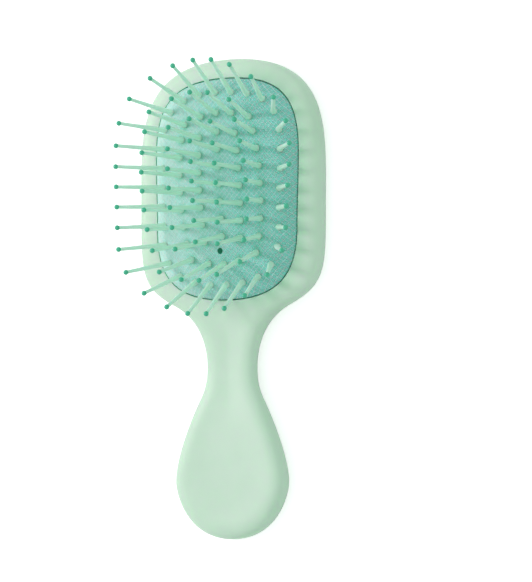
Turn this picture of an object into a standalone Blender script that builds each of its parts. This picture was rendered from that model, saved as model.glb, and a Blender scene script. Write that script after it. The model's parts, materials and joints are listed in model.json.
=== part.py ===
"""Cushion brush: a small paddle hair brush, 175 mm long.

One moulded body carries the head, the neck and the handle. A domed rubber pad snaps into the
head by a bead under a lip, and 75 tapered pins with ball ends stand in the pad: 30 in a ring
and 45 in five columns. Two of the columns are in one piece with the pad. The other pins pass
through holes in it, with a foot below and a collar above.

The brush lies on its flat back: +Z points the way the pins stand, +Y is the head's end, and
the origin is on the back face under the middle of the pad. All lengths are in metres.
"""
import math

import bmesh
import bpy
from mathutils import Matrix, Vector
from mathutils.geometry import delaunay_2d_cdt

MM = 0.001

# Opening for the pad, seen from the front: the head is drawn round it
OPENING_WIDTH = 62.8 * MM
OPENING_LENGTH = 81.0 * MM
OPENING_SIDE_Y = 12.0 * MM
OPENING_TAPER = 0.6 * MM
OPENING_LOW_Y = -15.0 * MM

# Body outline at its widest level: rims round the opening, then steps down to the handle's end
SIDE_RIM = 8.5 * MM
TOP_RIM = 7.1 * MM
HEAD_WIDEST_Y = -5.6 * MM
SHOULDER_INSET = 14.6 * MM
SHOULDER_DROP = 1.6 * MM
SHOULDER_ANGLE = math.radians(65)
NECK_WIDTH = 20.8 * MM
NECK_DROP = 23.0 * MM
FLARE_WIDTH = 29.4 * MM
FLARE_DROP = 13.9 * MM
FLARE_ANGLE = math.radians(27)
HANDLE_WIDTH = 48.0 * MM
HANDLE_DROP = 27.3 * MM
END_DROP = 21.0 * MM

# Body section: back face at z = 0, widest at the parting line, flat facet in front
BODY_THICKNESS = 9.4 * MM
PARTING_Z = 5.4 * MM
BACK_ROUND = 8.0 * MM
FRONT_ROUND = 5.6 * MM
FRONT_ROUND_POWER = 2.7
ROUND_STEPS = 4
NECK_SAG = 1.0 * MM
NECK_ARCH = 0.7 * MM
NECK_SAG_LENGTH = 44.0 * MM
DISH_DEPTH = 0.5 * MM
DISH_RUN = 12.0 * MM
DISH_FADE = 14.0 * MM
FACET_COLUMNS = (-0.6, 0.0, 0.6)
FACET_MARGIN = 1.0 * MM

# Lip, groove and pocket behind the opening
LIP_THICKNESS = 1.5 * MM
LIP_CHAMFER = 0.4 * MM
GROOVE_DEPTH = 1.5 * MM
GROOVE_HEIGHT = 2.6 * MM
LEDGE_WIDTH = 2.0 * MM
FLOOR_THICKNESS = 2.4 * MM

# Rubber pad
SEAT_GAP = 0.3 * MM
LIP_GAP = 0.4 * MM
PAD_THICKNESS = 1.2 * MM
FLANK_RISE = 3.4 * MM
FLANK_RUN = 8.5 * MM
FLANK_POWER = 2.6
CROWN_RISE = 1.1 * MM
SLOPE_STEP = 0.2 * MM
FLANK_INSETS = (0.0, 0.9 * MM, 2.4 * MM)
VENT_DIAMETER = 2.4 * MM
VENT_TO_END = 17.8 * MM
VENT_SIDES = 6

# Pin field: a ring of pins round a block of columns, which stands turned a little
RING_COUNT = 30
RING_INSET = 5.5 * MM
RING_START = 0.63
COLUMN_TO_SIDE = 13.8 * MM
INNER_ROWS = 7
INNER_ROW_TO_END = 21.4 * MM
END_ROW_TO_END = 12.9 * MM
END_ROW_RADIUS = 56.0 * MM
ROW_SHIFT = 0.2 * MM
CENTRE_ROW_SHIFT = 1.4 * MM
COLUMN_NARROWING = 0.25
NARROWING_POWER = 2.4
BLOCK_TURN = math.radians(3.8)

# Leans at the edge of the field, as the sine of the angle
SPLAY_LINEAR = 0.20
SPLAY_SIDE = 0.70
SPLAY_END = 0.63
SPLAY_CORNER = 0.50

# Pins and ball tips
PIN_LENGTH = 17.6 * MM
PIN_SIDES = 6
FOOT_DIAMETER = 3.4 * MM
FOOT_THICKNESS = 0.7 * MM
STUD_DIAMETER = 1.7 * MM
HOLE_DIAMETER = 3.1 * MM
HOLE_SIDES = 5
COLLAR_DIAMETER = 2.4 * MM
COLLAR_HEIGHT = 0.7 * MM
SHAFT_BASE_DIAMETER = 2.0 * MM
SHAFT_TIP_DIAMETER = 1.25 * MM
BALL_DIAMETER = 1.9 * MM
BALL_CAP_ANGLE = math.radians(40)
FIXED_GROUPS = ("left_column", "right_column")

# Point counts round the outlines
BODY_SAMPLES = (10, 12, 7, 5, 8, 8)
OPENING_SAMPLES = (12, 6, 12)
PAD_SAMPLES = (7, 3, 8)

# Places along the brush that follow from the sizes above
HEAD_WIDTH = OPENING_WIDTH + 2 * SIDE_RIM
HEAD_TOP = OPENING_LENGTH / 2 + TOP_RIM
SHOULDER_WIDTH = HEAD_WIDTH - 2 * SHOULDER_INSET
SHOULDER_Y = -OPENING_LENGTH / 2 - SHOULDER_DROP
NECK_Y = SHOULDER_Y - NECK_DROP
FLARE_Y = NECK_Y - FLARE_DROP
HANDLE_WIDEST_Y = FLARE_Y - HANDLE_DROP
HANDLE_END = HANDLE_WIDEST_Y - END_DROP
VENT_Y = VENT_TO_END - OPENING_LENGTH / 2
END_ROW_Y = OPENING_LENGTH / 2 - END_ROW_TO_END

# Levels that follow from the sizes above
LIP_UNDER_Z = BODY_THICKNESS - LIP_THICKNESS
LEDGE_Z = LIP_UNDER_Z - GROOVE_HEIGHT
BEAD_LOW_Z = LEDGE_Z + SEAT_GAP
BEAD_TOP_Z = LIP_UNDER_Z - SEAT_GAP


def bezier(start, start_handle, end_handle, end, steps):
    """Points of a cubic curve, without its last point."""
    points = []
    for step in range(steps):
        t = step / steps
        points.append(start * (1 - t) ** 3 + start_handle * 3 * t * (1 - t) ** 2
                      + end_handle * 3 * t * t * (1 - t) + end * t ** 3)
    return points


def half_outline(anchors, samples):
    """Right half of an outline from anchors of (x, y, heading, handle in, handle out).

    A handle's length is given as a share of the straight line between its two anchors.
    """
    points = []
    for here, there, steps in zip(anchors, anchors[1:], samples):
        start = Vector(here[:2])
        end = Vector(there[:2])
        heading_out = Vector((math.sin(here[2]), math.cos(here[2])))
        heading_in = Vector((math.sin(there[2]), math.cos(there[2])))
        chord = (end - start).length
        points += bezier(start, start + heading_out * here[4] * chord,
                         end - heading_in * there[3] * chord, end, steps)
    points.append(Vector(anchors[-1][:2]))
    return points


def full_outline(right_half):
    """Closed loop, clockwise from the top: the right half and its mirror image."""
    left_half = [Vector((-p.x, p.y)) for p in reversed(right_half[1:-1])]
    return right_half + left_half


RIGHT = math.radians(90)
DOWN = math.radians(180)
LEFT = math.radians(270)


def body_outline():
    anchors = [
        (0, HEAD_TOP, RIGHT, 0, 0.647),
        (HEAD_WIDTH / 2, HEAD_WIDEST_Y, DOWN, 0.383, 0.613),
        (SHOULDER_WIDTH / 2, SHOULDER_Y, DOWN + SHOULDER_ANGLE, 0.412, 0.135),
        (NECK_WIDTH / 2, NECK_Y, DOWN, 0.599, 0.515),
        (FLARE_WIDTH / 2, FLARE_Y, DOWN - FLARE_ANGLE, 0.275, 0.354),
        (HANDLE_WIDTH / 2, HANDLE_WIDEST_Y, DOWN, 0.257, 0.179),
        (0, HANDLE_END, LEFT, 0.577, 0),
    ]
    return full_outline(half_outline(anchors, BODY_SAMPLES))


def opening_outline(samples):
    anchors = [
        (0, OPENING_LENGTH / 2, RIGHT, 0, 0.627),
        (OPENING_WIDTH / 2, OPENING_SIDE_Y, DOWN, 0.415, 0.333),
        (OPENING_WIDTH / 2 - OPENING_TAPER, OPENING_LOW_Y, DOWN, 0.333, 0.388),
        (0, -OPENING_LENGTH / 2, LEFT, 0.598, 0),
    ]
    return full_outline(half_outline(anchors, samples))


def inset_loop(loop, inset):
    """The loop moved inwards by inset, or outwards where inset is negative."""
    count = len(loop)
    moved = []
    for i, point in enumerate(loop):
        along = loop[(i + 1) % count] - loop[i - 1]
        inward = Vector((along.y, -along.x)).normalized()
        moved.append(point + inward * inset)
    return moved


def inside(point, loop):
    """True where a point is inside a closed loop."""
    odd = False
    for a, b in zip(loop, loop[1:] + loop[:1]):
        if (a.y > point.y) != (b.y > point.y):
            if point.x < a.x + (point.y - a.y) * (b.x - a.x) / (b.y - a.y):
                odd = not odd
    return odd


def distance_to(point, loop):
    """Shortest distance from a point to a closed loop."""
    nearest = None
    for a, b in zip(loop, loop[1:] + loop[:1]):
        side = b - a
        t = max(0.0, min(1.0, (point - a).dot(side) / side.length_squared))
        away = (point - a - side * t).length
        nearest = away if nearest is None else min(nearest, away)
    return nearest


def bump(value):
    """Smooth hill: 1 at 0, and 0 with no slope from 1 outwards."""
    return math.cos(value * math.pi / 2) ** 2 if abs(value) < 1 else 0.0


def add_loop(mesh, loop, height):
    """A ring of vertices over a flat loop, at the height that height(point) gives."""
    return [mesh.verts.new((p.x, p.y, height(p))) for p in loop]


def bridge(mesh, lower, upper):
    """Faces between two rings that run clockwise seen from above, facing outwards."""
    count = len(lower)
    for i in range(count):
        j = (i + 1) % count
        mesh.faces.new((lower[j], lower[i], upper[i], upper[j]))


def plate(mesh, outer, holes, extra, height, facing_up=True):
    """Triangles over a region with holes. Rings are lists of vertices, outer one first."""
    rings = [outer] + holes
    verts = [v for ring in rings for v in ring]
    verts += [mesh.verts.new((p.x, p.y, height(p))) for p in extra]
    flat = [v.co.xy for v in verts]
    edges = []
    first = 0
    for ring in rings:
        edges += [(first + i, first + (i + 1) % len(ring)) for i in range(len(ring))]
        first += len(ring)
    _, _, triangles, origins, _, _ = delaunay_2d_cdt(flat, edges, [], 1, 1e-9)
    outer_flat = [v.co.xy for v in outer]
    holes_flat = [[v.co.xy for v in hole] for hole in holes]
    for triangle in triangles:
        corners = [verts[origins[i][0]] for i in triangle]
        middle = (corners[0].co.xy + corners[1].co.xy + corners[2].co.xy) / 3
        if not inside(middle, outer_flat):
            continue
        if any(inside(middle, hole) for hole in holes_flat):
            continue
        mesh.faces.new(corners if facing_up else corners[::-1])


def lay_flat(mesh, loop_verts):
    """Rungs across a symmetric ring of vertices, facing down."""
    count = len(loop_verts)
    rungs = count // 2
    for i in range(rungs):
        ring = [loop_verts[i], loop_verts[i + 1],
                loop_verts[count - i - 1], loop_verts[(count - i) % count]]
        corners = list(dict.fromkeys(ring))
        mesh.faces.new(corners)


def finish(mesh, name, material, origin=Vector((0, 0, 0)), parent=None, sharp=40):
    """Turn a bmesh in world coordinates into a named object with its origin at a point."""
    bmesh.ops.translate(mesh, verts=mesh.verts, vec=-origin)
    data = bpy.data.meshes.new(name)
    mesh.to_mesh(data)
    mesh.free()
    data.shade_smooth()
    data.set_sharp_from_angle(angle=math.radians(sharp))
    data.materials.append(material)
    thing = bpy.data.objects.new(name, data)
    bpy.context.collection.objects.link(thing)
    if parent is None:
        thing.location = origin
    else:
        thing.parent = parent
    return thing


def add_empty(name, location, parent=None):
    """An empty on a joint's axis. Its location is given in world coordinates."""
    empty = bpy.data.objects.new(name, None)
    bpy.context.collection.objects.link(empty)
    empty.parent = parent
    empty.location = location - (parent.location if parent else Vector((0, 0, 0)))
    return empty


def make_material(name, colour, roughness, metallic=0.0):
    material = bpy.data.materials.new(name)
    material.use_nodes = True
    shader = material.node_tree.nodes["Principled BSDF"]
    shader.inputs["Base Color"].default_value = (*colour, 1)
    shader.inputs["Roughness"].default_value = roughness
    shader.inputs["Metallic"].default_value = metallic
    material.diffuse_color = (*colour, 1)
    return material


# Body: head, neck and handle in one moulding

def neck_hill(y):
    return bump((y - NECK_Y) / (NECK_SAG_LENGTH / 2))


def front_edge_height(point):
    """Edge of the front facet: level on the head and the handle, lower at the neck."""
    return BODY_THICKNESS - NECK_SAG * neck_hill(point.y)


def front_height(point, facet_edge):
    """Front facet, sunk a little inside its edge all along the neck and the handle."""
    share = min(1.0, distance_to(point, facet_edge) / DISH_RUN)
    fade = 1 - bump(max(0.0, SHOULDER_Y - point.y) / DISH_FADE)
    return front_edge_height(point) - DISH_DEPTH * fade * (1 - (1 - share) ** 2)


def back_height(point):
    """Back face: flat under the head and the handle, with a low arch at the neck."""
    return NECK_ARCH * neck_hill(point.y)


def rounded_height(face_height, lift):
    """Height at a share of the way from the parting line to the front or back face."""
    return lambda point: PARTING_Z + (face_height(point) - PARTING_Z) * lift


def make_body(material):
    """One moulding: a quarter round behind, a fuller round in front and the pad's pocket."""
    mesh = bmesh.new()
    outline = body_outline()
    rings = []
    for step in range(ROUND_STEPS + 1):
        angle = math.radians(90) * step / ROUND_STEPS
        loop = inset_loop(outline, BACK_ROUND * (1 - math.sin(angle)))
        rings.append(add_loop(mesh, loop, rounded_height(back_height, math.cos(angle))))
    for step in range(1, ROUND_STEPS + 1):
        angle = math.radians(90) * step / ROUND_STEPS
        loop = inset_loop(outline, FRONT_ROUND * (1 - math.cos(angle) ** (2 / FRONT_ROUND_POWER)))
        lift = math.sin(angle) ** (2 / FRONT_ROUND_POWER)
        rings.append(add_loop(mesh, loop, rounded_height(front_edge_height, lift)))
    for lower, upper in zip(rings, rings[1:]):
        bridge(mesh, lower, upper)
    lay_flat(mesh, rings[0])

    opening = opening_outline(OPENING_SAMPLES)
    pocket = [
        (-LIP_CHAMFER, BODY_THICKNESS),
        (0, BODY_THICKNESS - LIP_CHAMFER),
        (0, LIP_UNDER_Z),
        (-GROOVE_DEPTH, LIP_UNDER_Z),
        (-GROOVE_DEPTH, LEDGE_Z),
        (LEDGE_WIDTH, LEDGE_Z),
        (LEDGE_WIDTH, FLOOR_THICKNESS),
    ]
    walls = [add_loop(mesh, inset_loop(opening, inset), lambda p, z=z: z) for inset, z in pocket]
    for upper, lower in zip(walls, walls[1:]):
        bridge(mesh, upper, lower)
    mesh.faces.new(walls[-1][::-1])

    facet_edge = [v.co.xy for v in rings[-1]]
    half = facet_edge[:len(facet_edge) // 2 + 1]
    inner = [Vector((p.x * share, p.y)) for p in half for share in FACET_COLUMNS
             if SHOULDER_Y > p.y > HANDLE_END + FRONT_ROUND + FACET_MARGIN]
    plate(mesh, rings[-1], [walls[0]], inner, lambda p: front_height(p, facet_edge))
    return finish(mesh, "handle_body", material, sharp=50)


# Pad: a domed rubber diaphragm with a bead round its edge

def pad_height(point, edge):
    """Top of the pad: a steep flank at its edge and a gentle crown."""
    share = min(1.0, distance_to(point, edge) / FLANK_RUN)
    flank = FLANK_RISE * (1 - (1 - share) ** FLANK_POWER)
    across = 1 - (point.x / (OPENING_WIDTH / 2)) ** 2
    along = 1 - (point.y / (OPENING_LENGTH / 2)) ** 2
    return BODY_THICKNESS + flank + CROWN_RISE * across * along


def pad_normal(point, edge):
    """Direction square to the pad's top at a point."""
    dx = Vector((SLOPE_STEP, 0))
    dy = Vector((0, SLOPE_STEP))
    slope_x = (pad_height(point + dx, edge) - pad_height(point - dx, edge)) / (2 * SLOPE_STEP)
    slope_y = (pad_height(point + dy, edge) - pad_height(point - dy, edge)) / (2 * SLOPE_STEP)
    return Vector((-slope_x, -slope_y, 1)).normalized()


def circle(centre, diameter, sides):
    """Clockwise ring of points, as the outlines run."""
    points = []
    for side in range(sides):
        angle = 2 * math.pi * side / sides
        points.append(centre + Vector((math.sin(angle), math.cos(angle))) * diameter / 2)
    return points


def make_pad(material, loose_pins, fixed_pins, parent):
    """The pad, with a hole for each loose pin and the fixed pins in one piece with it."""
    mesh = bmesh.new()
    opening = opening_outline(PAD_SAMPLES)
    edge = inset_loop(opening, LIP_GAP)
    bead = GROOVE_DEPTH - SEAT_GAP
    outer = [add_loop(mesh, inset_loop(opening, inset), lambda p, z=z: z)
             for inset, z in ((-bead, BEAD_LOW_Z), (-bead, BEAD_TOP_Z), (LIP_GAP, BEAD_TOP_Z))]
    skin = [add_loop(mesh, inset_loop(edge, inset), lambda p: pad_height(p, edge))
            for inset in FLANK_INSETS]
    inner_inset = LIP_GAP + PAD_THICKNESS
    inner = [add_loop(mesh, inset_loop(opening, inner_inset), lambda p: BEAD_LOW_Z),
             add_loop(mesh, inset_loop(opening, inner_inset), lambda p: BODY_THICKNESS - PAD_THICKNESS)]

    def on_top(ring):
        """A ring of vertices on the pad's top."""
        return add_loop(mesh, ring, lambda p: pad_height(p, edge))

    holes = [on_top(circle(pin.place, HOLE_DIAMETER, HOLE_SIDES)) for pin in loose_pins]
    holes.append(on_top(circle(Vector((0, VENT_Y)), VENT_DIAMETER, VENT_SIDES)))
    feet = [on_top(circle(pin.place, COLLAR_DIAMETER, PIN_SIDES)) for pin in fixed_pins]

    def sunk(ring):
        """The ring's partner on the underside of the pad."""
        return [mesh.verts.new(v.co - pad_normal(v.co.xy, edge) * PAD_THICKNESS) for v in ring]

    under_edge = sunk(skin[-1])
    under_holes = [sunk(ring) for ring in holes]
    rings = outer + skin
    for lower, upper in zip(rings, rings[1:]):
        bridge(mesh, lower, upper)
    plate(mesh, skin[-1], holes + feet, [], None)
    plate(mesh, under_edge, under_holes, [], None, facing_up=False)
    for top, under in zip(holes, under_holes):
        bridge(mesh, top, under)
    for pin, foot in zip(fixed_pins, feet):
        stack_rings(mesh, [foot] + [add_ring(mesh, *station) for station in shaft_stations(pin)])
    bridge(mesh, under_edge, inner[1])
    bridge(mesh, inner[1], inner[0])
    bridge(mesh, inner[0], outer[0])
    return finish(mesh, "cushion_pad", material, Vector((0, 0, BEAD_LOW_Z)), parent, sharp=50)


# Pins: feet under the pad, studs through it, collars on top and splayed shafts

class Pin:
    """Where a pin stands on the pad, square to it, and the way that its shaft leans."""

    def __init__(self, place, edge):
        self.place = place
        self.root = Vector((place.x, place.y, pad_height(place, edge)))
        self.normal = pad_normal(place, edge)
        across = place.x / (OPENING_WIDTH / 2 - RING_INSET)
        along = place.y / (OPENING_LENGTH / 2 - RING_INSET)
        lean_x = SPLAY_LINEAR * across + (SPLAY_SIDE - SPLAY_LINEAR) * across ** 3
        lean_y = SPLAY_LINEAR * along + (SPLAY_END - SPLAY_LINEAR) * along ** 3
        lean_y *= 1 - SPLAY_CORNER * across ** 2
        self.direction = Vector((lean_x, lean_y, math.sqrt(1 - lean_x ** 2 - lean_y ** 2)))


def ring_places():
    """Pin places at equal steps along a loop inside the opening, the first near its top."""
    loop = inset_loop(opening_outline(OPENING_SAMPLES), RING_INSET)
    sides = [(b - a).length for a, b in zip(loop, loop[1:] + loop[:1])]
    total = sum(sides)
    places = []
    for number in range(RING_COUNT):
        target = (number + RING_START) * total / RING_COUNT
        for a, b, side in zip(loop, loop[1:] + loop[:1], sides):
            if target <= side:
                places.append(a.lerp(b, target / side))
                break
            target -= side
    return places


def column_places(column):
    """Places in one inner column: even rows, and an end row on an arc at each end.

    The columns draw together towards both ends, and the whole block is turned.
    """
    x = column * (OPENING_WIDTH / 2 - COLUMN_TO_SIDE) / 2
    end_y = END_ROW_Y - (END_ROW_RADIUS - math.sqrt(END_ROW_RADIUS ** 2 - x ** 2))
    shift = ROW_SHIFT + (CENTRE_ROW_SHIFT if column == 0 else 0)
    reach = OPENING_LENGTH / 2 - INNER_ROW_TO_END
    rows = [reach - 2 * reach * row / (INNER_ROWS - 1) + shift for row in range(INNER_ROWS)]
    turn = Matrix.Rotation(BLOCK_TURN, 2)
    places = []
    for y in [end_y] + rows + [-end_y]:
        narrowing = COLUMN_NARROWING * abs(y / END_ROW_Y) ** NARROWING_POWER
        places.append(turn @ Vector((x * (1 - narrowing), y)))
    return places


def pin_groups():
    """Pin places by group. The pins of a group rock together about one line."""
    ring = ring_places()
    corner = RING_COUNT // 10
    half = RING_COUNT // 2
    groups = {
        "top_arc": ring[-corner:] + ring[:corner],
        "right_side": ring[corner:half - corner],
        "bottom_arc": ring[half - corner:half + corner],
        "left_side": ring[half + corner:-corner],
    }
    names = ("far_left_column", "left_column", "centre_column", "right_column", "far_right_column")
    for name, column in zip(names, (-2, -1, 0, 1, 2)):
        groups[name] = column_places(column)
    return groups


def add_ring(mesh, centre, direction, diameter):
    """A ring of vertices square to a direction, clockwise seen from its tip."""
    u = (Vector((0, 1, 0)) - direction * direction.y).normalized()
    v = u.cross(direction)
    ring = []
    for side in range(PIN_SIDES):
        angle = 2 * math.pi * side / PIN_SIDES
        ring.append(mesh.verts.new(centre + (u * math.cos(angle) + v * math.sin(angle)) * diameter / 2))
    return ring


def stack_rings(mesh, rings):
    """Walls between rings, and a cap on the last."""
    for lower, upper in zip(rings, rings[1:]):
        bridge(mesh, lower, upper)
    mesh.faces.new(rings[-1][::-1])


def foot_stations(pin):
    """Foot under the pad, stud through its hole and the collar's lower edge above it."""
    under = -PAD_THICKNESS - SEAT_GAP
    return [
        (pin.root + pin.normal * (under - FOOT_THICKNESS), pin.normal, FOOT_DIAMETER),
        (pin.root + pin.normal * under, pin.normal, FOOT_DIAMETER),
        (pin.root + pin.normal * under, pin.normal, STUD_DIAMETER),
        (pin.root + pin.normal * SEAT_GAP, pin.normal, STUD_DIAMETER),
        (pin.root + pin.normal * SEAT_GAP, pin.normal, COLLAR_DIAMETER),
    ]


def shaft_stations(pin):
    """Tapered shaft above the collar, ending in a ball."""
    neck = pin.root + pin.normal * (SEAT_GAP + COLLAR_HEIGHT)
    ball = pin.root + pin.direction * PIN_LENGTH
    ball_reach = (BALL_DIAMETER ** 2 - SHAFT_TIP_DIAMETER ** 2) ** 0.5 / 2
    cap_reach = BALL_DIAMETER / 2 * math.sin(BALL_CAP_ANGLE)
    return [
        (neck, (pin.normal + pin.direction).normalized(), SHAFT_BASE_DIAMETER),
        (ball - pin.direction * ball_reach, pin.direction, SHAFT_TIP_DIAMETER),
        (ball, pin.direction, BALL_DIAMETER),
        (ball + pin.direction * cap_reach, pin.direction, BALL_DIAMETER * math.cos(BALL_CAP_ANGLE)),
    ]


def make_pin(name, pin, material, hinge):
    mesh = bmesh.new()
    rings = [add_ring(mesh, *station) for station in foot_stations(pin) + shaft_stations(pin)]
    mesh.faces.new(rings[0])
    stack_rings(mesh, rings)
    finish(mesh, name, material, hinge.matrix_world.translation, hinge, sharp=50)


def main():
    for thing in list(bpy.data.objects):
        bpy.data.objects.remove(thing)
    mint = make_material("mint_plastic", (0.57, 0.76, 0.63), 0.35)
    teal_rubber = make_material("teal_rubber", (0.16, 0.50, 0.38), 0.60)
    pin_nylon = make_material("pale_mint_nylon", (0.42, 0.72, 0.60), 0.40)

    edge = inset_loop(opening_outline(PAD_SAMPLES), LIP_GAP)
    groups = {name: [Pin(place, edge) for place in places] for name, places in pin_groups().items()}
    fixed_pins = [pin for name in FIXED_GROUPS for pin in groups.pop(name)]
    loose_pins = [pin for pins in groups.values() for pin in pins]

    make_body(mint)
    press = add_empty("cushion_press", Vector((0, 0, BEAD_LOW_Z)))
    make_pad(teal_rubber, loose_pins, fixed_pins, press)
    for group, pins in groups.items():
        middle = sum((pin.root for pin in pins), Vector((0, 0, 0))) / len(pins)
        hinge = add_empty("rock_" + group, middle, press)
        bpy.context.view_layer.update()
        for number, pin in enumerate(pins, 1):
            make_pin(f"pin_{group}_{number}", pin, pin_nylon, hinge)


main()
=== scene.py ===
"""Cushion brush: finished surfaces, pins and pad, with light and camera.

Everything is in metres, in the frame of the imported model: the brush lies on its back, +Z points
the way the pins stand and +Y is the head's end.
"""

import json
import math

import bmesh
import bpy
import numpy as np
from mathutils import Matrix, Vector
from mathutils.geometry import delaunay_2d_cdt

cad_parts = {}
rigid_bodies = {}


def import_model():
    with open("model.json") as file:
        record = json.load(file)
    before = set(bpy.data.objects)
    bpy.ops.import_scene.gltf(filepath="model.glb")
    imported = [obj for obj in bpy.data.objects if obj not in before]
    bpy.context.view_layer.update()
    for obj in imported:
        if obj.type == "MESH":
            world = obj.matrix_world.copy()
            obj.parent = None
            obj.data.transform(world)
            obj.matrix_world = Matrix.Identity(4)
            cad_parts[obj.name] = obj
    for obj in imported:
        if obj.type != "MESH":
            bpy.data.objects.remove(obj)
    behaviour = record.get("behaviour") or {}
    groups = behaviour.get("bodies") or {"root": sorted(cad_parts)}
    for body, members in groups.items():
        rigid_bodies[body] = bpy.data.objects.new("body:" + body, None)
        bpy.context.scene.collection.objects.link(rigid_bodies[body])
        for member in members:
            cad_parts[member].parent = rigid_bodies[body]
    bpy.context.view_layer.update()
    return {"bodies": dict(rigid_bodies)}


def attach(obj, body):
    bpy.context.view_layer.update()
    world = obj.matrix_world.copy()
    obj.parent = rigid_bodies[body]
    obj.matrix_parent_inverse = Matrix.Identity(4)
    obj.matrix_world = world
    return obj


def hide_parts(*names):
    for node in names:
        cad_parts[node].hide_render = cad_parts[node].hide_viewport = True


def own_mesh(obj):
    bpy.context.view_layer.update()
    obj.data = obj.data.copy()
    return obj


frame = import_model()

MM = 0.001
QUARTER_TURN = math.radians(90)

# Opening for the pad: the head is drawn round it
OPENING_WIDTH = 62.8 * MM
OPENING_LENGTH = 81.0 * MM
OPENING_SIDE_Y = 12.0 * MM
OPENING_TAPER = 0.6 * MM
OPENING_LOW_Y = -15.0 * MM

# Body outline at its widest level: rims round the opening, then steps down to the handle's end
SIDE_RIM = 8.5 * MM
TOP_RIM = 7.1 * MM
HEAD_WIDEST_Y = -5.6 * MM
SHOULDER_INSET = 14.6 * MM
SHOULDER_DROP = 1.6 * MM
SHOULDER_ANGLE = math.radians(65)
NECK_WIDTH = 20.8 * MM
NECK_DROP = 23.0 * MM
FLARE_WIDTH = 29.4 * MM
FLARE_DROP = 13.9 * MM
FLARE_ANGLE = math.radians(27)
HANDLE_WIDTH = 48.0 * MM
HANDLE_DROP = 27.3 * MM
END_DROP = 21.0 * MM

# Body section
BODY_THICKNESS = 9.4 * MM
PARTING_Z = 5.4 * MM
BACK_ROUND = 8.0 * MM
FRONT_ROUND = 5.6 * MM
FRONT_ROUND_POWER = 2.7
NECK_SAG = 1.0 * MM
NECK_ARCH = 0.7 * MM
NECK_SAG_LENGTH = 44.0 * MM
DISH_DEPTH = 0.5 * MM
DISH_RUN = 12.0 * MM
DISH_FADE = 14.0 * MM

# Lip, groove and pocket behind the opening
LIP_THICKNESS = 1.5 * MM
LIP_ROUND = 0.35 * MM
GROOVE_DEPTH = 1.5 * MM
GROOVE_HEIGHT = 2.6 * MM
LEDGE_WIDTH = 2.0 * MM
FLOOR_THICKNESS = 2.4 * MM

# Rubber pad
SEAT_GAP = 0.3 * MM
LIP_GAP = 0.4 * MM
EDGE_GAP = 0.35 * MM
PAD_THICKNESS = 1.2 * MM
SKIN_THICKNESS = 0.7 * MM
FLANK_RISE = 3.4 * MM
FLANK_RUN = 8.5 * MM
FLANK_POWER = 2.6
CROWN_RISE = 1.1 * MM
SLOPE_STEP = 0.2 * MM
VENT_DIAMETER = 2.4 * MM
VENT_TO_END = 17.8 * MM
THROAT_DEPTH = 0.15 * MM
THROAT_NARROWING = 0.06

# Pin field: a ring of pins round a block of columns, which stands turned a little
RING_COUNT = 30
RING_INSET = 5.5 * MM
RING_START = 0.63
COLUMN_TO_SIDE = 13.8 * MM
INNER_ROWS = 7
INNER_ROW_TO_END = 21.4 * MM
END_ROW_TO_END = 12.9 * MM
END_ROW_RADIUS = 56.0 * MM
ROW_SHIFT = 0.2 * MM
CENTRE_ROW_SHIFT = 1.4 * MM
COLUMN_NARROWING = 0.25
NARROWING_POWER = 2.4
BLOCK_TURN = math.radians(3.8)

# Leans at the edge of the field, as the sine of the angle
SPLAY_LINEAR = 0.20
SPLAY_SIDE = 0.70
SPLAY_END = 0.63
SPLAY_CORNER = 0.50

# Pins and ball tips; the collar's round is given as shares of its height and its diameter
PIN_LENGTH = 17.6 * MM
FOOT_DIAMETER = 3.4 * MM
FOOT_THICKNESS = 0.7 * MM
STUD_DIAMETER = 1.7 * MM
COLLAR_DIAMETER = 2.4 * MM
COLLAR_HEIGHT = 0.7 * MM
COLLAR_ROUND = ((0, 1), (0.45, 0.97), (0.75, 0.88))
SHAFT_BASE_DIAMETER = 2.0 * MM
SHAFT_TIP_DIAMETER = 1.25 * MM
SHAFT_TAPER_POWER = 0.8
BALL_DIAMETER = 1.9 * MM
BALL_END_ANGLE = math.radians(84)

# Fineness of the meshes: points along the outlines, steps along the rounds, and grids on the faces
BODY_SAMPLES = (50, 60, 36, 24, 40, 40)
OPENING_SAMPLES = (12, 6, 12)
FINE_OPENING_SAMPLES = (60, 30, 60)
ROUND_STEPS = 14
LIP_ROUND_STEPS = 4
PAD_EDGE_STEPS = 14
PAD_EDGE_RUN = 3.4 * MM
PAD_EDGE_POWER = 1.6
VENT_SIDES = 24
PIN_SIDES = 16
SHAFT_STEPS = 6
BALL_STEPS = 11
GRID_ROW_SPACING = 0.87
FACE_GRID = 1.6 * MM
FACE_MARGIN = 0.7 * MM
PAD_GRID = 0.75 * MM
PAD_MARGIN = 0.5 * MM
UNDERSIDE_GRID = 2.5 * MM
UNDERSIDE_MARGIN = 1.0 * MM

# Reach of the painted tones that the meshes carry: painted shade round the pins' seats and painted
# green bounce light beside the pad
SEAT_SHADE_REACH = 3.0 * MM
SEAT_SHADE_GAIN = 1.4
RING_SEAT_SHADE = 0.35
PAINTED_BOUNCE_REACH = 4.8 * MM

# Tones as 8-bit display colours: a material varies between its two
MINT = ((196, 225, 205), (204, 230, 212))
# Next: painted green bounce light, for the shaded rim beside the pad on its right
MINT_PAINTED_BOUNCE = ((176, 229, 192), (183, 233, 198))
THREAD = ((186, 253, 242), (194, 255, 246))
HOLLOW = ((129, 230, 207), (136, 234, 213))
# Next: painted light, the pad's tone where the lamp falls on its left
PAINTED_LIGHT_RUBBER = ((188, 246, 226), (194, 249, 231))
# Next: painted shade round the pins' bases
SEAT_SHADE_GREEN = (70, 203, 153)
NYLON = ((201, 236, 217), (209, 241, 225))
BALL_GREEN = ((58, 181, 144), (70, 192, 155))
# Next: painted shade at the vent's end
VENT_SHADE_GREEN = ((16, 102, 74), (24, 118, 88))
# Next: painted shade on the lip's inner wall beside the pad
WALL_SHADE_GREEN = ((70, 180, 142), (84, 192, 154))

WEAVE_PITCH = 1.5 * MM

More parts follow.
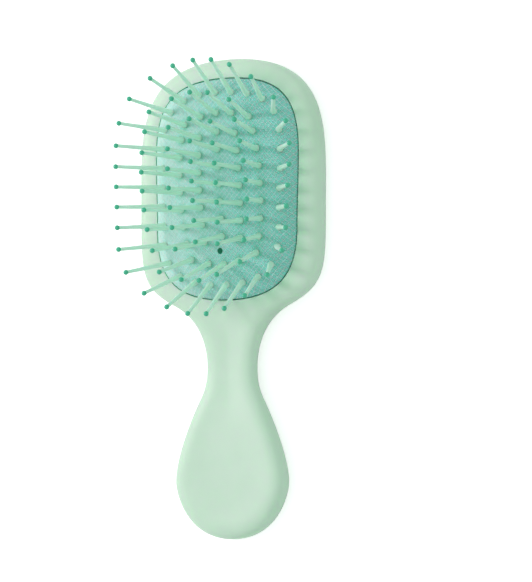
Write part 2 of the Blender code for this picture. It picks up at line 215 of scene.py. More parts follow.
# Floor and background
FLOOR_SIZE = 6.0
FLOOR_DROP = 0.3 * MM
FLOOR_COLOUR = (0.78, 0.80, 0.79, 1)
FLOOR_GLOW = 0.62
WORLD_STRENGTH = 0.685
WORLD_COLOUR = (0.91, 1.0, 0.945, 1)
WHITE = (1, 1, 1, 1)

# Lights: place along the camera's axes (right, up, back), diameter, power in watts and colour
LIGHTS = {
    "key": ((-0.885, 0.14, 0.077), 0.3, 4.1, (1.0, 0.82, 0.90)),
    "fill": ((0.5, 0.6, 1.1), 0.9, 0.8, (1.0, 1.0, 1.0)),
}

# Camera: the brush is seen turned and slightly tilted
TURN = math.radians(34)
TILT = math.radians(-2)
CAMERA_DISTANCE = 1454.5 * MM
AIM_RIGHT = 14.4 * MM
AIM_DOWN = 37.1 * MM
LENS = 247.4
SENSOR_WIDTH = 36
CLIP_START = 0.05
CLIP_END = 20

HEAD_WIDTH = OPENING_WIDTH + 2 * SIDE_RIM
HEAD_TOP = OPENING_LENGTH / 2 + TOP_RIM
SHOULDER_WIDTH = HEAD_WIDTH - 2 * SHOULDER_INSET
SHOULDER_Y = -OPENING_LENGTH / 2 - SHOULDER_DROP
NECK_Y = SHOULDER_Y - NECK_DROP
FLARE_Y = NECK_Y - FLARE_DROP
HANDLE_WIDEST_Y = FLARE_Y - HANDLE_DROP
HANDLE_END = HANDLE_WIDEST_Y - END_DROP
VENT_Y = VENT_TO_END - OPENING_LENGTH / 2
END_ROW_Y = OPENING_LENGTH / 2 - END_ROW_TO_END

LIP_UNDER_Z = BODY_THICKNESS - LIP_THICKNESS
LEDGE_Z = LIP_UNDER_Z - GROOVE_HEIGHT
BEAD_LOW_Z = LEDGE_Z + SEAT_GAP
BEAD_TOP_Z = LIP_UNDER_Z - SEAT_GAP

# Low and high corner of the areas that the grids cover
BODY_AREA = ((-HEAD_WIDTH / 2, HANDLE_END), (HEAD_WIDTH / 2, HEAD_TOP))
OPENING_AREA = ((-OPENING_WIDTH / 2, -OPENING_LENGTH / 2), (OPENING_WIDTH / 2, OPENING_LENGTH / 2))
OPENING_CENTRE = Vector((0, 0, BODY_THICKNESS))

# Headings of an outline, clockwise from +Y
RIGHT = QUARTER_TURN
DOWN = 2 * QUARTER_TURN
LEFT = 3 * QUARTER_TURN


# Outlines

def bezier(start, start_handle, end_handle, end, steps):
    """Points of a cubic curve, without its last point."""
    points = []
    for step in range(steps):
        t = step / steps
        points.append(start * (1 - t) ** 3 + start_handle * 3 * t * (1 - t) ** 2
                      + end_handle * 3 * t * t * (1 - t) + end * t ** 3)
    return points


def full_outline(anchors, samples):
    """Closed loop, clockwise from the top, from anchors (x, y, heading, handle in, handle out).

    A handle's length is given as a share of the straight line between its two anchors.
    """
    right_half = []
    for here, there, steps in zip(anchors, anchors[1:], samples):
        start = Vector(here[:2])
        end = Vector(there[:2])
        heading_out = Vector((math.sin(here[2]), math.cos(here[2])))
        heading_in = Vector((math.sin(there[2]), math.cos(there[2])))
        chord = (end - start).length
        right_half += bezier(start, start + heading_out * here[4] * chord,
                             end - heading_in * there[3] * chord, end, steps)
    right_half.append(Vector(anchors[-1][:2]))
    left_half = [Vector((-p.x, p.y)) for p in reversed(right_half[1:-1])]
    return right_half + left_half


def body_outline():
    anchors = [
        (0, HEAD_TOP, RIGHT, 0, 0.647),
        (HEAD_WIDTH / 2, HEAD_WIDEST_Y, DOWN, 0.383, 0.613),
        (SHOULDER_WIDTH / 2, SHOULDER_Y, DOWN + SHOULDER_ANGLE, 0.412, 0.135),
        (NECK_WIDTH / 2, NECK_Y, DOWN, 0.599, 0.515),
        (FLARE_WIDTH / 2, FLARE_Y, DOWN - FLARE_ANGLE, 0.275, 0.354),
        (HANDLE_WIDTH / 2, HANDLE_WIDEST_Y, DOWN, 0.257, 0.179),
        (0, HANDLE_END, LEFT, 0.577, 0),
    ]
    return full_outline(anchors, BODY_SAMPLES)


def opening_outline(samples=FINE_OPENING_SAMPLES):
    anchors = [
        (0, OPENING_LENGTH / 2, RIGHT, 0, 0.627),
        (OPENING_WIDTH / 2, OPENING_SIDE_Y, DOWN, 0.415, 0.333),
        (OPENING_WIDTH / 2 - OPENING_TAPER, OPENING_LOW_Y, DOWN, 0.333, 0.388),
        (0, -OPENING_LENGTH / 2, LEFT, 0.598, 0),
    ]
    return full_outline(anchors, samples)


def inset_loop(loop, inset):
    """The loop moved inwards by inset, or outwards where inset is negative."""
    count = len(loop)
    moved = []
    for i, point in enumerate(loop):
        along = loop[(i + 1) % count] - loop[i - 1]
        inward = Vector((along.y, -along.x)).normalized()
        moved.append(point + inward * inset)
    return moved


def circle(centre, diameter, sides):
    """Clockwise ring of points."""
    points = []
    for side in range(sides):
        angle = 2 * math.pi * side / sides
        points.append(centre + Vector((math.sin(angle), math.cos(angle))) * diameter / 2)
    return points


def inside_mask(points, loop):
    """For an array of points, which are inside a closed loop."""
    corners = np.array(loop)
    following = np.roll(corners, -1, axis=0)
    odd = np.zeros(len(points), bool)
    for a, b in zip(corners, following):
        if a[1] == b[1]:
            continue
        crosses = (a[1] > points[:, 1]) != (b[1] > points[:, 1])
        x = a[0] + (points[:, 1] - a[1]) * (b[0] - a[0]) / (b[1] - a[1])
        odd ^= crosses & (points[:, 0] < x)
    return odd


def distances_to(points, loop):
    """For an array of points, the shortest distance to a closed loop."""
    corners = np.array(loop)
    following = np.roll(corners, -1, axis=0)
    nearest = np.full(len(points), np.inf)
    for a, b in zip(corners, following):
        side = b - a
        t = np.clip((points - a) @ side / (side @ side), 0, 1)
        away = np.linalg.norm(points - a - t[:, None] * side, axis=1)
        nearest = np.minimum(nearest, away)
    return nearest


def grid_inside(area, spacing, loop, margin):
    """Points of a grid over an area that lie inside a closed loop, further from it than margin.

    Every second row is shifted by half a step.
    """
    (left, y), (right, top) = area
    points = []
    row = 0
    while y < top:
        x = left + (spacing / 2 if row % 2 else 0)
        while x < right:
            points.append((x, y))
            x += spacing
        y += spacing * GRID_ROW_SPACING
        row += 1
    grid = np.array(points)
    return grid[inside_mask(grid, loop) & (distances_to(grid, loop) > margin)]


# Mesh helpers

def flat(verts):
    return [v.co.xy for v in verts]


def mean_point(verts):
    return sum((v.co for v in verts), Vector((0, 0, 0))) / len(verts)


def add_loop(mesh, loop, heights):
    """Vertices above the points of a loop, all at one height or each at its own."""
    levels = np.broadcast_to(heights, len(loop))
    return [mesh.verts.new((p.x, p.y, z)) for p, z in zip(loop, levels)]


def bridge(mesh, *rings):
    """Faces from each ring to the next, facing outwards where the rings run clockwise upwards."""
    for lower, upper in zip(rings, rings[1:]):
        count = len(lower)
        for i in range(count):
            j = (i + 1) % count
            mesh.faces.new((lower[j], lower[i], upper[i], upper[j]))


def plate(mesh, outer, holes, grid, heights, facing_up=True):
    """Triangles over a region with holes, by way of a grid of points at their heights.

    The outer ring and the holes are lists of vertices.
    """
    rings = [outer] + holes
    extra = np.column_stack((grid, heights)).tolist()
    verts = [v for ring in rings for v in ring] + [mesh.verts.new(p) for p in extra]
    edges = []
    first = 0
    for ring in rings:
        edges += [(first + i, first + (i + 1) % len(ring)) for i in range(len(ring))]
        first += len(ring)
    _, _, triangles, origins, _, _ = delaunay_2d_cdt(flat(verts), edges, [], 1, 1e-9)
    corners = [[verts[origins[i][0]] for i in triangle] for triangle in triangles]
    middles = np.array([mean_point(c).xy for c in corners])
    keep = inside_mask(middles, flat(outer))
    for hole in holes:
        keep &= ~inside_mask(middles, flat(hole))
    for kept, triangle in zip(keep, corners):
        if kept:
            mesh.faces.new(triangle if facing_up else triangle[::-1])


def recolour(mesh, rings):
    """Gives the faces between these rings the second material."""
    chosen = {v for ring in rings for v in ring}
    for face in mesh.faces:
        if all(v in chosen for v in face.verts):
            face.material_index = 1


def new_object(mesh, name, materials, sharp=40):
    """Object from a mesh, smooth but for edges sharper than this many degrees."""
    data = bpy.data.meshes.new(name)
    mesh.to_mesh(data)
    mesh.free()
    data.shade_smooth()
    data.set_sharp_from_angle(angle=math.radians(sharp))
    for material in materials:
        data.materials.append(material)
    thing = bpy.data.objects.new(name, data)
    bpy.context.scene.collection.objects.link(thing)
    return thing


def flat_points(thing):
    return np.array([v.co.xy for v in thing.data.vertices])


def add_values(thing, name, values):
    """Stores one value for each point, for a material to read."""
    thing.data.attributes.new(name, "FLOAT", "POINT").data.foreach_set("value", values)


# Body

def hill(value):
    """Smooth hill: 1 at 0, and 0 with no slope from 1 outwards."""
    return math.cos(value * math.pi / 2) ** 2 if abs(value) < 1 else 0.0


def neck_hill(y):
    return hill((y - NECK_Y) / (NECK_SAG_LENGTH / 2))


def back_height(y):
    return NECK_ARCH * neck_hill(y)


def front_edge_height(y):
    return BODY_THICKNESS - NECK_SAG * neck_hill(y)


def front_height(y, to_edge):
    """Front facet, sunk a little inside its edge all along the neck and the handle."""
    share = min(1.0, to_edge / DISH_RUN)
    fade = 1 - hill(max(0.0, SHOULDER_Y - y) / DISH_FADE)
    return front_edge_height(y) - DISH_DEPTH * fade * (1 - (1 - share) ** 2)


def add_round_ring(mesh, outline, inset, face_height, lift):
    """Ring of the body's outer surface, lifted from the parting line (0) towards a face (1)."""
    loop = inset_loop(outline, inset)
    return add_loop(mesh, loop, [PARTING_Z + (face_height(p.y) - PARTING_Z) * lift for p in loop])


def add_rounds(mesh):
    """Outer surface from the edge of the back to the edge of the front; returns those two rings."""
    outline = body_outline()
    rings = []
    for step in range(ROUND_STEPS + 1):
        angle = QUARTER_TURN * step / ROUND_STEPS
        inset = BACK_ROUND * (1 - math.sin(angle))
        rings.append(add_round_ring(mesh, outline, inset, back_height, math.cos(angle)))
    power = 2 / FRONT_ROUND_POWER
    for step in range(1, ROUND_STEPS + 1):
        angle = QUARTER_TURN * step / ROUND_STEPS
        inset = FRONT_ROUND * (1 - math.cos(angle) ** power)
        lift = math.sin(angle) ** power
        rings.append(add_round_ring(mesh, outline, inset, front_edge_height, lift))
    bridge(mesh, *rings)
    return rings[0], rings[-1]


def add_pocket(mesh, opening):
    """Lip, groove, ledge and floor behind the opening; returns the rings from the front down."""
    sections = []
    for step in range(LIP_ROUND_STEPS + 1):
        angle = QUARTER_TURN * step / LIP_ROUND_STEPS
        sections.append((-LIP_ROUND * (1 - math.sin(angle)),
                         BODY_THICKNESS - LIP_ROUND * (1 - math.cos(angle))))
    sections += [
        (0, LIP_UNDER_Z),
        (-GROOVE_DEPTH, LIP_UNDER_Z),
        (-GROOVE_DEPTH, LEDGE_Z),
        (LEDGE_WIDTH, LEDGE_Z),
        (LEDGE_WIDTH, FLOOR_THICKNESS),
    ]
    walls = [add_loop(mesh, inset_loop(opening, inset), z) for inset, z in sections]
    bridge(mesh, *walls)
    mesh.faces.new(walls[-1][::-1])
    return walls


def make_body(plastic, wall_shade):
    mesh = bmesh.new()
    opening = opening_outline()
    heel, facet = add_rounds(mesh)
    walls = add_pocket(mesh, opening)

    grid = grid_inside(BODY_AREA, FACE_GRID, flat(facet), FACE_MARGIN)
    rim = flat(walls[0])
    grid = grid[~inside_mask(grid, rim) & (distances_to(grid, rim) > FACE_MARGIN)]
    to_edge = distances_to(grid, flat(facet))
    heights = [front_height(y, away) for y, away in zip(grid[:, 1], to_edge)]
    plate(mesh, facet, [walls[0]], grid, heights)

    grid = grid_inside(BODY_AREA, FACE_GRID, flat(heel), FACE_MARGIN)
    plate(mesh, heel, [], grid, [back_height(y) for y in grid[:, 1]], facing_up=False)

    # Painted shade: the lip's inner wall beside the pad takes the dark green material
    lip_wall = walls[LIP_ROUND_STEPS // 2:LIP_ROUND_STEPS + 2]
    recolour(mesh, lip_wall)
    shell = new_object(mesh, "body_shell", [plastic, wall_shade])
    away = distances_to(flat_points(shell), opening)
    # Painted bounce light: nearness to the pad, which the plastic's material turns greener
    add_values(shell, "painted_pad_bounce", np.clip(1 - away / PAINTED_BOUNCE_REACH, 0, 1))
    return shell


# Pad

def pad_edge():
    """The line that the pad's flank rises from."""
    return inset_loop(opening_outline(), LIP_GAP)


def pad_heights(points, edge):
    """For an array of points, the height of the pad's top."""
    share = np.minimum(1.0, distances_to(points, edge) / FLANK_RUN)
    flank = FLANK_RISE * (1 - (1 - share) ** FLANK_POWER)
    across = 1 - (points[:, 0] / (OPENING_WIDTH / 2)) ** 2
    along = 1 - (points[:, 1] / (OPENING_LENGTH / 2)) ** 2
    return BODY_THICKNESS + flank + CROWN_RISE * across * along


def pad_normal(place, edge):
    step = SLOPE_STEP
    around = np.array([(place.x + step, place.y), (place.x - step, place.y),
                       (place.x, place.y + step), (place.x, place.y - step)])
    right, left, up, down = pad_heights(around, edge)
    return Vector(((left - right) / (2 * step), (down - up) / (2 * step), 1)).normalized()


def add_pad_loop(mesh, loop, edge, depth=0.0):
    """Ring of the pad at this depth under its top."""
    return add_loop(mesh, loop, pad_heights(np.array(loop), edge) - depth)


def add_vent(mesh, edge):
    """Short throat of the vent, with painted shade on its end for the hole's depth; returns its
    upper ring.
    """
    mouth = add_pad_loop(mesh, circle(Vector((0, VENT_Y)), VENT_DIAMETER, VENT_SIDES), edge)
    centre = mean_point(mouth)
    down = Vector((0, 0, THROAT_DEPTH))
    throat = [mesh.verts.new(v.co - down - (v.co - centre) * THROAT_NARROWING) for v in mouth]
    bridge(mesh, mouth, throat)
    # Painted shade: the throat's end takes the dark green material
    mesh.faces.new(throat[::-1]).material_index = 1
    return mouth


def add_underside(mesh, opening, edge, bead):
    """Closes the pad below, from the bead's lowest ring to a sheet under the top."""
    loop = inset_loop(opening, EDGE_GAP + SKIN_THICKNESS)
    inner_top = add_pad_loop(mesh, loop, edge, SKIN_THICKNESS)
    inner_low = add_loop(mesh, loop, BEAD_LOW_Z)
    bridge(mesh, inner_top, inner_low, bead)
    grid = grid_inside(OPENING_AREA, UNDERSIDE_GRID, loop, UNDERSIDE_MARGIN)
    heights = pad_heights(grid, edge) - SKIN_THICKNESS
    plate(mesh, inner_top, [], grid, heights, facing_up=False)


def make_pad(rubber, vent):
    mesh = bmesh.new()
    opening = opening_outline()
    edge = pad_edge()
    bead = SEAT_GAP - GROOVE_DEPTH
    sections = [(bead, BEAD_LOW_Z), (bead, BEAD_TOP_Z), (EDGE_GAP, BEAD_TOP_Z)]
    rings = [add_loop(mesh, inset_loop(opening, inset), z) for inset, z in sections]
    for step in range(PAD_EDGE_STEPS + 1):
        inset = EDGE_GAP + PAD_EDGE_RUN * (step / PAD_EDGE_STEPS) ** PAD_EDGE_POWER
        rings.append(add_pad_loop(mesh, inset_loop(opening, inset), edge))
    bridge(mesh, *rings)

    mouth = add_vent(mesh, edge)
    grid = grid_inside(OPENING_AREA, PAD_GRID, flat(rings[-1]), PAD_MARGIN)
    to_vent = np.hypot(grid[:, 0], grid[:, 1] - VENT_Y)
    grid = grid[to_vent > VENT_DIAMETER / 2 + PAD_MARGIN]
    plate(mesh, rings[-1], [mouth], grid, pad_heights(grid, edge))
    add_underside(mesh, opening, edge, rings[0])

    skin = new_object(mesh, "pad_skin", [rubber, vent])
    paint_seat_shade(skin)
    return skin


def paint_seat_shade(skin):
    """Stores painted shade round the pins' bases, by how near each point is to a pin: 1 round a pin
    of a column, less round the ring's.
    """
    points = flat_points(skin)
    shade = np.zeros(len(points))
    for group, places in pin_groups().items():
        depth = 1.0 if group.endswith("column") else RING_SEAT_SHADE
        for place in places:
            share = np.hypot(points[:, 0] - place.x, points[:, 1] - place.y) / SEAT_SHADE_REACH
            nearness = np.clip(SEAT_SHADE_GAIN * (1 - share), 0, 1)
            shade = np.maximum(shade, depth * nearness)
    add_values(skin, "painted_seat_shade", shade)


# Pins

def ring_places():
    """Pin places at equal steps along a loop inside the opening, the first near its top."""
    loop = inset_loop(opening_outline(OPENING_SAMPLES), RING_INSET)
    sides = [(b - a).length for a, b in zip(loop, loop[1:] + loop[:1])]
    total = sum(sides)
    places = []
    for number in range(RING_COUNT):
        target = (number + RING_START) * total / RING_COUNT
        for a, b, side in zip(loop, loop[1:] + loop[:1], sides):
            if target <= side:
                places.append(a.lerp(b, target / side))
                break
            target -= side
    return places


def column_places(column):
    """Places in one inner column, which draws in towards both ends, in the turned block."""
    x = column * (OPENING_WIDTH / 2 - COLUMN_TO_SIDE) / 2
    end_y = END_ROW_Y - (END_ROW_RADIUS - math.sqrt(END_ROW_RADIUS ** 2 - x ** 2))
    shift = ROW_SHIFT + (CENTRE_ROW_SHIFT if column == 0 else 0)
    reach = OPENING_LENGTH / 2 - INNER_ROW_TO_END
    rows = [reach - 2 * reach * row / (INNER_ROWS - 1) + shift for row in range(INNER_ROWS)]
    turn = Matrix.Rotation(BLOCK_TURN, 2)
    places = []
    for y in [end_y] + rows + [-end_y]:
        narrowing = COLUMN_NARROWING * abs(y / END_ROW_Y) ** NARROWING_POWER
        places.append(turn @ Vector((x * (1 - narrowing), y)))
    return places


def pin_groups():
    """Pin places by group: the ring's two ends and two sides, and the five columns."""
    ring = ring_places()
    corner = RING_COUNT // 10
    half = RING_COUNT // 2
    groups = {
        "top_arc": ring[-corner:] + ring[:corner],
        "right_side": ring[corner:half - corner],
        "bottom_arc": ring[half - corner:half + corner],
        "left_side": ring[half + corner:-corner],
    }
    names = ("far_left_column", "left_column", "centre_column", "right_column", "far_right_column")
    for name, column in zip(names, (-2, -1, 0, 1, 2)):
        groups[name] = column_places(column)
    return groups


def pin_direction(place):
    across = place.x / (OPENING_WIDTH / 2 - RING_INSET)
    along = place.y / (OPENING_LENGTH / 2 - RING_INSET)
    lean_x = SPLAY_LINEAR * across + (SPLAY_SIDE - SPLAY_LINEAR) * across ** 3
    lean_y = SPLAY_LINEAR * along + (SPLAY_END - SPLAY_LINEAR) * along ** 3
    lean_y *= 1 - SPLAY_CORNER * across ** 2
    return Vector((lean_x, lean_y, math.sqrt(1 - lean_x ** 2 - lean_y ** 2)))


def add_pin_ring(mesh, centre, direction, diameter):
    u = (Vector((0, 1, 0)) - direction * direction.y).normalized()
    v = u.cross(direction)
    ring = []
    for side in range(PIN_SIDES):
        angle = 2 * math.pi * side / PIN_SIDES
        out = u * math.cos(angle) + v * math.sin(angle)
        ring.append(mesh.verts.new(centre + out * diameter / 2))
    return ring


def seat_stations(root, normal):
    """Centre, direction and diameter of the rings of a pin's foot, stud and rounded collar."""
    under = -PAD_THICKNESS - SEAT_GAP
    sizes = [
        (under - FOOT_THICKNESS, FOOT_DIAMETER),
        (under, FOOT_DIAMETER),
        (under, STUD_DIAMETER),
        (0.0, STUD_DIAMETER),
    ]
    sizes += [(high * COLLAR_HEIGHT, wide * COLLAR_DIAMETER) for high, wide in COLLAR_ROUND]
    return [(root + normal * lift, normal, size) for lift, size in sizes]


def shaft_stations(neck, tip, normal, direction):
    """The same for the tapered shaft."""
    stations = [(neck, (normal + direction).normalized(), SHAFT_BASE_DIAMETER)]
    taper = SHAFT_TIP_DIAMETER - SHAFT_BASE_DIAMETER
    for step in range(1, SHAFT_STEPS + 1):
        share = step / SHAFT_STEPS
        size = SHAFT_BASE_DIAMETER + taper * share ** SHAFT_TAPER_POWER
        stations.append((neck.lerp(tip, share), direction, size))
    return stations


def ball_stations(ball, direction, start):
    """The same for the ball, after the ring at its start angle where it meets the shaft."""
    stations = []
    for step in range(1, BALL_STEPS + 1):
        angle = start + (BALL_END_ANGLE - start) * step / BALL_STEPS
        centre = ball + direction * (BALL_DIAMETER / 2 * math.sin(angle))
        stations.append((centre, direction, BALL_DIAMETER * math.cos(angle)))
    return stations


def make_pin(name, place, edge, shaft_material, ball_material):
    root = Vector((place.x, place.y, pad_heights(np.array([place]), edge)[0]))
    normal = pad_normal(place, edge)
    direction = pin_direction(place)
    neck = root + normal * (SEAT_GAP + COLLAR_HEIGHT)
    ball = root + direction * PIN_LENGTH
    reach = math.sqrt(BALL_DIAMETER ** 2 - SHAFT_TIP_DIAMETER ** 2) / 2
    start = math.asin(-reach / (BALL_DIAMETER / 2))
    stem = seat_stations(root, normal)
    stem += shaft_stations(neck, ball - direction * reach, normal, direction)

    mesh = bmesh.new()
    stations = stem + ball_stations(ball, direction, start)
    rings = [add_pin_ring(mesh, *station) for station in stations]
    mesh.faces.new(rings[0])
    bridge(mesh, *rings)
    mesh.faces.new(rings[-1][::-1])
    recolour(mesh, rings[len(stem) - 1:])
    return new_object(mesh, name, [shaft_material, ball_material], sharp=60)


# Materials

def linear(colour):
    """Scene colour of an 8-bit display colour."""
    shares = [value / 255 for value in colour]
    light = [s / 12.92 if s <= 0.04045 else ((s + 0.055) / 1.055) ** 2.4 for s in shares]
    return (*light, 1)


class Nodes:
    """Short calls for the nodes of one tree. A value is a plain one or another node's output."""

    def __init__(self, tree):
        self.tree = tree

    def put(self, value, socket):
        if isinstance(value, bpy.types.NodeSocket):
            self.tree.links.new(value, socket)
        else:
            socket.default_value = value

    def add(self, kind, inputs=(), **settings):
        node = self.tree.nodes.new(kind)
        for key, value in settings.items():
            setattr(node, key, value)
        for key, value in dict(inputs).items():
            self.put(value, node.inputs[key])
        return node

    def math(self, operation, a, b=0.0):
        return self.add("ShaderNodeMath", {0: a, 1: b}, operation=operation).outputs[0]

    def spread(self, value, from_low, from_high, to_low, to_high):
        """The value with one range turned into another, which it doesn't leave."""
        inputs = {"Value": value, "From Min": from_low, "From Max": from_high,
                  "To Min": to_low, "To Max": to_high}
        return self.add("ShaderNodeMapRange", inputs).outputs["Result"]

    def mix(self, share, first, second):
        inputs = {0: share, 6: first, 7: second}
        return self.add("ShaderNodeMix", inputs, data_type="RGBA").outputs[2]

    def shown(self):
        """1 for the rays that see the background: from the camera, mirrored or passing through."""
        path = self.add("ShaderNodeLightPath").outputs
        mirrored = self.math("MAXIMUM", path["Is Camera Ray"], path["Is Glossy Ray"])
        return self.math("MAXIMUM", mirrored, path["Is Transmission Ray"])


class Surface(Nodes):
    """A new material, with places in the brush's own frame."""

    def __init__(self, name):
        self.material = bpy.data.materials.new(name)
        self.material.use_nodes = True
        super().__init__(self.material.node_tree)
        self.shader = self.tree.nodes["Principled BSDF"]
        self.place = self.add("ShaderNodeTexCoord").outputs["Object"]

    def noise(self, scale, detail=2.0):
        inputs = {"Vector": self.place, "Scale": scale, "Detail": detail}
        return self.add("ShaderNodeTexNoise", inputs).outputs["Fac"]

    def cloud(self, scale):
        return self.spread(self.noise(scale), 0.3, 0.7, 0, 1)

    def between(self, share, tones):
        darker, lighter = tones
        return self.mix(share, linear(darker), linear(lighter))

    def stored(self, name):
        """A value that the mesh carries."""
        return self.add("ShaderNodeAttribute", attribute_name=name).outputs["Fac"]

    def across(self, left, right, at_left, at_right):
        """A value that changes between two places from left to right."""
        x = self.add("ShaderNodeSeparateXYZ", {"Vector": self.place}).outputs["X"]
        return self.spread(x, left, right, at_left, at_right)

    def bump(self, height, distance, strength, before=None):
        inputs = {"Height": height, "Distance": distance, "Strength": strength}
        if before is not None:
            inputs["Normal"] = before
        return self.add("ShaderNodeBump", inputs).outputs["Normal"]

    def set(self, **inputs):
        for key, value in inputs.items():
            self.put(value, self.shader.inputs[key.replace("_", " ")])


def mint_plastic():
    """Satin moulded plastic: faint flow tone and fine grain, with painted green bounce light that
    makes it greener by the pad on its right.
    """
    surface = Surface("moulded_mint")
    flow = surface.spread(surface.noise(38, detail=3), 0.35, 0.65, 0, 1)
    # Painted green bounce light and shade: greener near the opening, towards the right
    glow = surface.math("MULTIPLY", surface.stored("painted_pad_bounce"),
                        surface.across(-25 * MM, 25 * MM, 0, 1))
    tone = surface.mix(glow, surface.between(flow, MINT), surface.between(flow, MINT_PAINTED_BOUNCE))
    grain = surface.noise(2600)
    normal = surface.bump(surface.noise(90), distance=0.12 * MM, strength=0.35)
    normal = surface.bump(grain, distance=0.02 * MM, strength=0.35, before=normal)
    surface.set(Base_Color=tone, Normal=normal,
                Roughness=surface.spread(grain, 0.3, 0.7, 0.42, 0.52), Specular_IOR_Level=0.35)
    surface.set(Subsurface_Weight=0.5, Subsurface_Scale=5 * MM,
                Subsurface_Radius=(0.38, 1.0, 0.42))
    return surface.material


def weave_lines(surface):
    """1 on the threads of a diagonal weave, which follows the block of columns, and 0 between."""
    turn = (0, 0, math.radians(45) - BLOCK_TURN)
    turned = surface.add("ShaderNodeMapping", {"Vector": surface.place, "Rotation": turn})
    place = surface.add("ShaderNodeSeparateXYZ", {"Vector": turned.outputs[0]}).outputs
    waves = []
    for axis in ("X", "Y"):
        phase = surface.math("MULTIPLY", place[axis], math.pi / WEAVE_PITCH)
        waves.append(surface.math("ABSOLUTE", surface.math("SINE", phase)))
    return surface.spread(surface.math("MINIMUM", *waves), 0.08, 0.52, 1, 0)


def woven_rubber():
    """Rubber with a moulded weave; painted light makes it paler to the left, and painted shade
    makes it greener round the pins' seats.
    """
    surface = Surface("woven_teal")
    weave = weave_lines(surface)
    cloud = surface.cloud(120)
    tone = surface.mix(weave, surface.between(cloud, HOLLOW), surface.between(cloud, THREAD))
    # Painted light: the rubber paler towards the left, where the lamp falls
    painted_light = surface.across(-28 * MM, 10 * MM, 0.8, 0)
    tone = surface.mix(painted_light, tone, surface.between(cloud, PAINTED_LIGHT_RUBBER))
    # Painted shade: darker green round the pins' bases
    painted_seat_shade = surface.math("MULTIPLY", surface.stored("painted_seat_shade"), 0.65)
    tone = surface.mix(painted_seat_shade, tone, linear(SEAT_SHADE_GREEN))
    relief = surface.math("MULTIPLY", weave, surface.across(-26 * MM, 6 * MM, 0.5, 1))
    normal = surface.bump(relief, distance=0.3 * MM, strength=0.9)
    normal = surface.bump(surface.noise(4000), distance=0.02 * MM, strength=0.4, before=normal)
    surface.set(Base_Color=tone, Normal=normal,
                Roughness=surface.spread(weave, 0, 1, 0.65, 0.5),
                Sheen_Weight=0.1, Sheen_Roughness=0.4)
    surface.set(Subsurface_Weight=0.5, Subsurface_Scale=4 * MM, Subsurface_Radius=(0.2, 1.0, 0.8))
    return surface.material


def deep_shade(name, tones):
    """Matt green painted shade for a place that little light reaches: the vent, or the wall beside
    the pad.
    """
    surface = Surface(name)
    tone = surface.between(surface.noise(900), tones)
    surface.set(Base_Color=tone, Roughness=0.9, Specular_IOR_Level=0.2)
    return surface.material


def pin_nylon():
    """Pale translucent nylon with faint draw lines."""
    surface = Surface("pale_nylon")
    cloud = surface.cloud(260)
    normal = surface.bump(surface.noise(1800), distance=0.03 * MM, strength=0.4)
    surface.set(Base_Color=surface.between(cloud, NYLON), Normal=normal,
                Roughness=surface.spread(cloud, 0, 1, 0.34, 0.42))
    surface.set(Subsurface_Weight=0.5, Subsurface_Scale=2 * MM, Subsurface_Radius=(0.5, 1.0, 0.8))
    return surface.material


def ball_coat():
    """Darker dipped coat on the ball ends."""
    surface = Surface("ball_coat")
    cloud = surface.cloud(700)
    normal = surface.bump(surface.noise(2200), distance=0.02 * MM, strength=0.4)
    surface.set(Base_Color=surface.between(cloud, BALL_GREEN), Normal=normal,
                Roughness=surface.spread(cloud, 0, 1, 0.28, 0.36))
    return surface.material


def floor_material():
    """Pale to the light that bounces, with a glow for the rays that see the background."""
    material = bpy.data.materials.new("pale_floor")
    material.use_nodes = True
    material.node_tree.nodes.clear()
    floor = Nodes(material.node_tree)
    diffuse = floor.add("ShaderNodeBsdfDiffuse", {"Color": FLOOR_COLOUR})
    strength = floor.math("MULTIPLY", floor.shown(), FLOOR_GLOW)
    glow = floor.add("ShaderNodeEmission", {"Strength": strength})
    both = floor.add("ShaderNodeAddShader", {0: diffuse.outputs[0], 1: glow.outputs[0]})
    floor.add("ShaderNodeOutputMaterial", {"Surface": both.outputs[0]})
    return material


# Stage: floor, light and camera

def view_rotation():
    """Camera axes as rows: right, up and back."""
    turned = Matrix(((math.cos(TURN), 0, -math.sin(TURN)), (0, 1, 0),
                     (math.sin(TURN), 0, math.cos(TURN))))
    tilted = Matrix(((1, 0, 0), (0, math.cos(TILT), -math.sin(TILT)),
                     (0, math.sin(TILT), math.cos(TILT))))
    return tilted @ turned


def from_view(right, up, back):
    """A point given along the camera's axes from the opening's centre."""
    return OPENING_CENTRE + view_rotation().transposed() @ Vector((right, up, back))


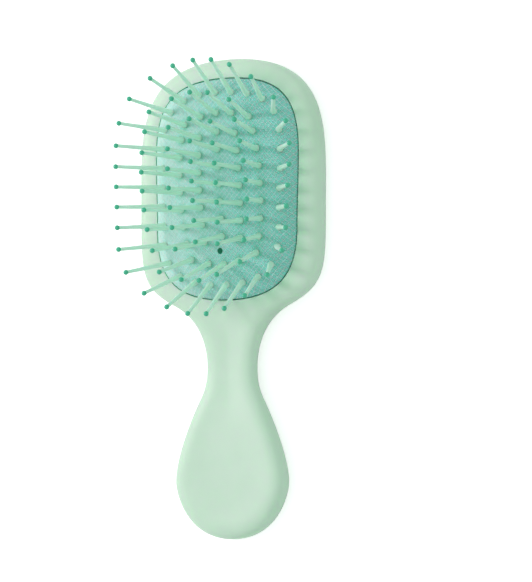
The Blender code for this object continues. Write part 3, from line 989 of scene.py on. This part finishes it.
def make_camera():
    data = bpy.data.cameras.new("camera")
    data.lens = LENS
    data.sensor_width = SENSOR_WIDTH
    data.clip_start = CLIP_START
    data.clip_end = CLIP_END
    camera = bpy.data.objects.new("camera", data)
    bpy.context.scene.collection.objects.link(camera)
    place = from_view(AIM_RIGHT, -AIM_DOWN, CAMERA_DISTANCE)
    camera.matrix_world = Matrix.Translation(place) @ view_rotation().transposed().to_4x4()
    bpy.context.scene.camera = camera


def add_light(name, place, size, power, colour):
    data = bpy.data.lights.new(name, "AREA")
    data.shape = "DISK"
    data.size = size
    data.energy = power
    data.color = colour
    light = bpy.data.objects.new(name, data)
    bpy.context.scene.collection.objects.link(light)
    light.location = from_view(*place)
    light.rotation_mode = "QUATERNION"
    aim = OPENING_CENTRE - light.location
    light.rotation_quaternion = aim.to_track_quat("-Z", "Y")


def make_world():
    """White where the background is seen, and a soft, slightly green light elsewhere."""
    world = bpy.data.worlds.new("studio")
    bpy.context.scene.world = world
    world.use_nodes = True
    studio = Nodes(world.node_tree)
    background = world.node_tree.nodes["Background"].inputs
    shown = studio.shown()
    studio.put(studio.mix(shown, WORLD_COLOUR, WHITE), background["Color"])
    studio.put(studio.spread(shown, 0, 1, WORLD_STRENGTH, 1), background["Strength"])


def make_stage():
    mesh = bmesh.new()
    bmesh.ops.create_grid(mesh, x_segments=1, y_segments=1, size=FLOOR_SIZE / 2)
    bmesh.ops.translate(mesh, verts=mesh.verts, vec=(0, 0, -FLOOR_DROP))
    floor = new_object(mesh, "floor", [floor_material()])

    make_world()
    for name, (place, size, power, colour) in LIGHTS.items():
        add_light(name, place, size, power, colour)
    bpy.context.scene.view_settings.view_transform = "Standard"


# The brush

def main():
    mint = mint_plastic()
    nylon = pin_nylon()
    coat = ball_coat()
    vent = deep_shade("vent_shade", VENT_SHADE_GREEN)
    wall_shade = deep_shade("seam_shade", WALL_SHADE_GREEN)

    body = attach(make_body(mint, wall_shade), "handle")
    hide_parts("handle_body")

    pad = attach(make_pad(woven_rubber(), vent), "handle")
    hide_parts("cushion_pad")
    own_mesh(pad)

    edge = pad_edge()
    for group, places in pin_groups().items():
        hinged = group + "_pins" in frame["bodies"]
        for number, place in enumerate(places, 1):
            pin = make_pin(f"fine_{group}_{number}", place, edge, nylon, coat)
            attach(pin, group + "_pins" if hinged else "cushion")
            if hinged:
                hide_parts(f"pin_{group}_{number}")

    make_camera()
    make_stage()


main()
